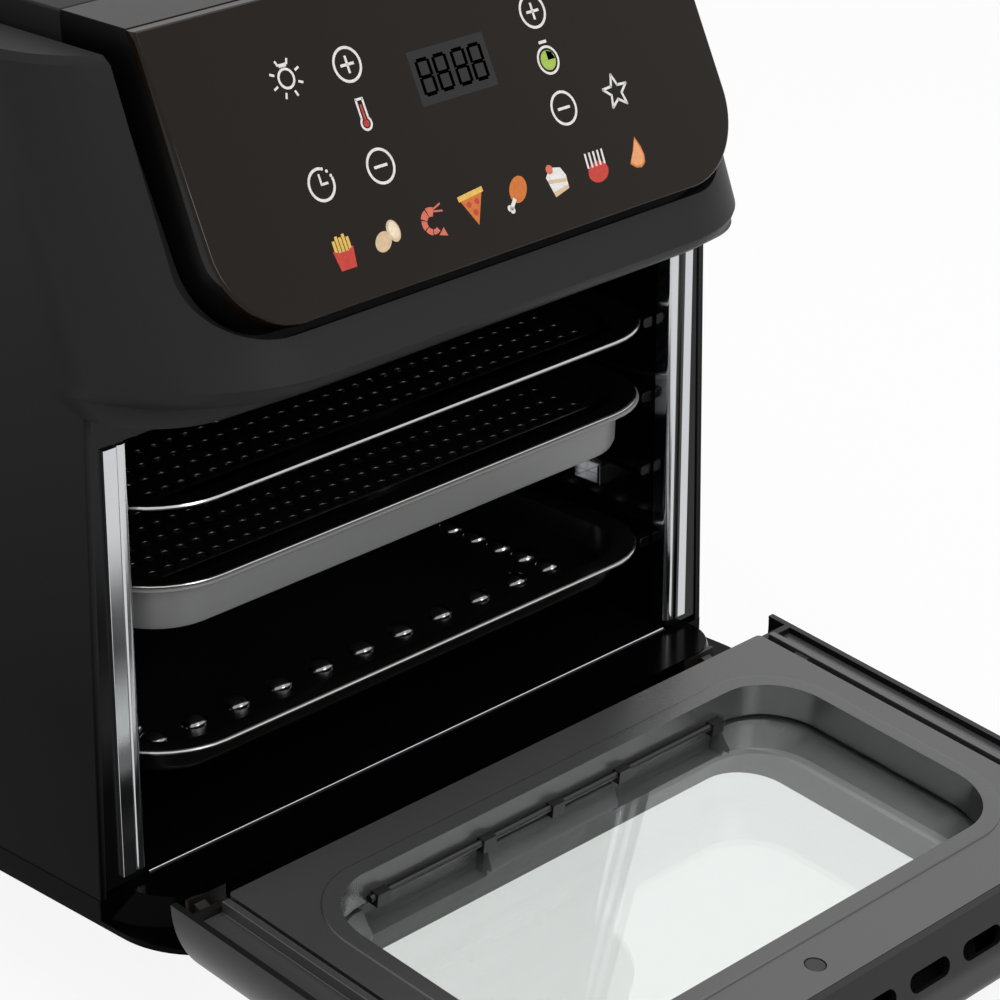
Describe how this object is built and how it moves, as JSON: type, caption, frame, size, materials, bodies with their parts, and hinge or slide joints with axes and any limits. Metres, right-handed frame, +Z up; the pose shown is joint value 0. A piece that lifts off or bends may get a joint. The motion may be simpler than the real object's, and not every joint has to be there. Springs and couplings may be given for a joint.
{
  "type": "air fryer oven",
  "caption": "Countertop air fryer oven with a drop-down glass door, a sloping touch panel, sliding perforated racks, a drip tray and a top hot-air fan.",
  "frame": {"origin": "centre of the bounding box footprint at floor level, with the door open", "axes": "+X to the right of someone facing the oven, +Y from the door to the back, +Z up"},
  "size_m": [0.3, 0.4628, 0.3345],
  "materials": {
    "body_black": "satin moulded plastic, fine grain",
    "base_black": "satin moulded plastic",
    "panel_glass": "tinted touch glass with printed symbols",
    "display": "smoked display block",
    "board": "circuit board",
    "cavity_steel": "bright sheet",
    "frame_black": "satin enamel",
    "chrome_trim": "bright",
    "tray_dark": "dark non-stick coating",
    "pan_grey": "satin grey coating",
    "clear_glass": "clear toughened glass",
    "door_black": "satin moulded plastic",
    "door_inner_grey": "fine grain moulded plastic",
    "seal_black": "matte",
    "steel": "plated",
    "rubber_foot": "matte",
    "element": "heat darkened tube",
    "motor_steel": "plated",
    "lamp_white": "glazed",
    "magnet": "plated"
  },
  "bodies": {
    "oven": {"base_pan": "base_black", "feet": "rubber_foot", "outer_housing": "body_black", "top_cover": "body_black", "back_cover": "body_black", "cover_screws": "steel", "cord_gland": "seal_black", "control_frame": "body_black", "control_glass": "panel_glass", "display_module": "display", "touch_board": "board", "power_board": "board", "cavity_liner": "cavity_steel", "front_frame": "frame_black", "chrome_strip_left": "chrome_trim", "chrome_strip_right": "chrome_trim", "wall_bracket": "chrome_trim", "heater_coil": "element", "fan_guard": "cavity_steel", "fan_motor": "motor_steel", "lamp_holder": "lamp_white", "lamp_lens": "clear_glass", "thermostat_probe": "steel", "door_sensor": "body_black", "hinge_bracket_left": "steel", "hinge_bracket_right": "steel", "hinge_cover": "base_black"},
    "door": {"door_shell": "door_black", "door_inner_frame": "door_inner_grey", "door_screws": "steel", "glass_gasket": "seal_black", "inner_glass": "clear_glass", "glass_retainer": "steel", "window_surround": "door_inner_grey", "outer_glass": "clear_glass", "door_side_trim_left": "door_inner_grey", "door_side_trim_right": "door_inner_grey", "hinge_arm_left": "steel", "hinge_arm_right": "steel", "hinge_pins": "steel", "door_handle": "door_black", "door_magnet": "magnet"},
    "upper_tray": {"upper_rack": "tray_dark"},
    "middle_tray": {"middle_rack": "tray_dark", "deep_pan": "pan_grey"},
    "lower_tray": {"drip_tray": "tray_dark"},
    "fan": {"fan_impeller": "steel", "fan_shaft": "steel", "cooling_fan": "body_black"}
  },
  "joints": [
    {"name": "door_hinge", "type": "hinge", "parent": "oven", "child": "door", "pos_m": [0, -0.05155, 0.0364], "axis": [-1, 0, 0], "range_deg": [0, 96.87]},
    {"name": "upper_rack_slide", "type": "slide", "parent": "oven", "child": "upper_tray", "axis": [0, 1, 0], "range_m": [-0.15, 0]},
    {"name": "middle_tray_slide", "type": "slide", "parent": "oven", "child": "middle_tray", "axis": [0, 1, 0], "range_m": [-0.15, 0]},
    {"name": "drip_tray_slide", "type": "slide", "parent": "oven", "child": "lower_tray", "axis": [0, 1, 0], "range_m": [-0.15, 0]},
    {"name": "fan_spin", "type": "hinge", "parent": "oven", "child": "fan", "pos_m": [0, 0.08895, 0.266], "axis": [0, 0, 1], "continuous": true}
  ]
}
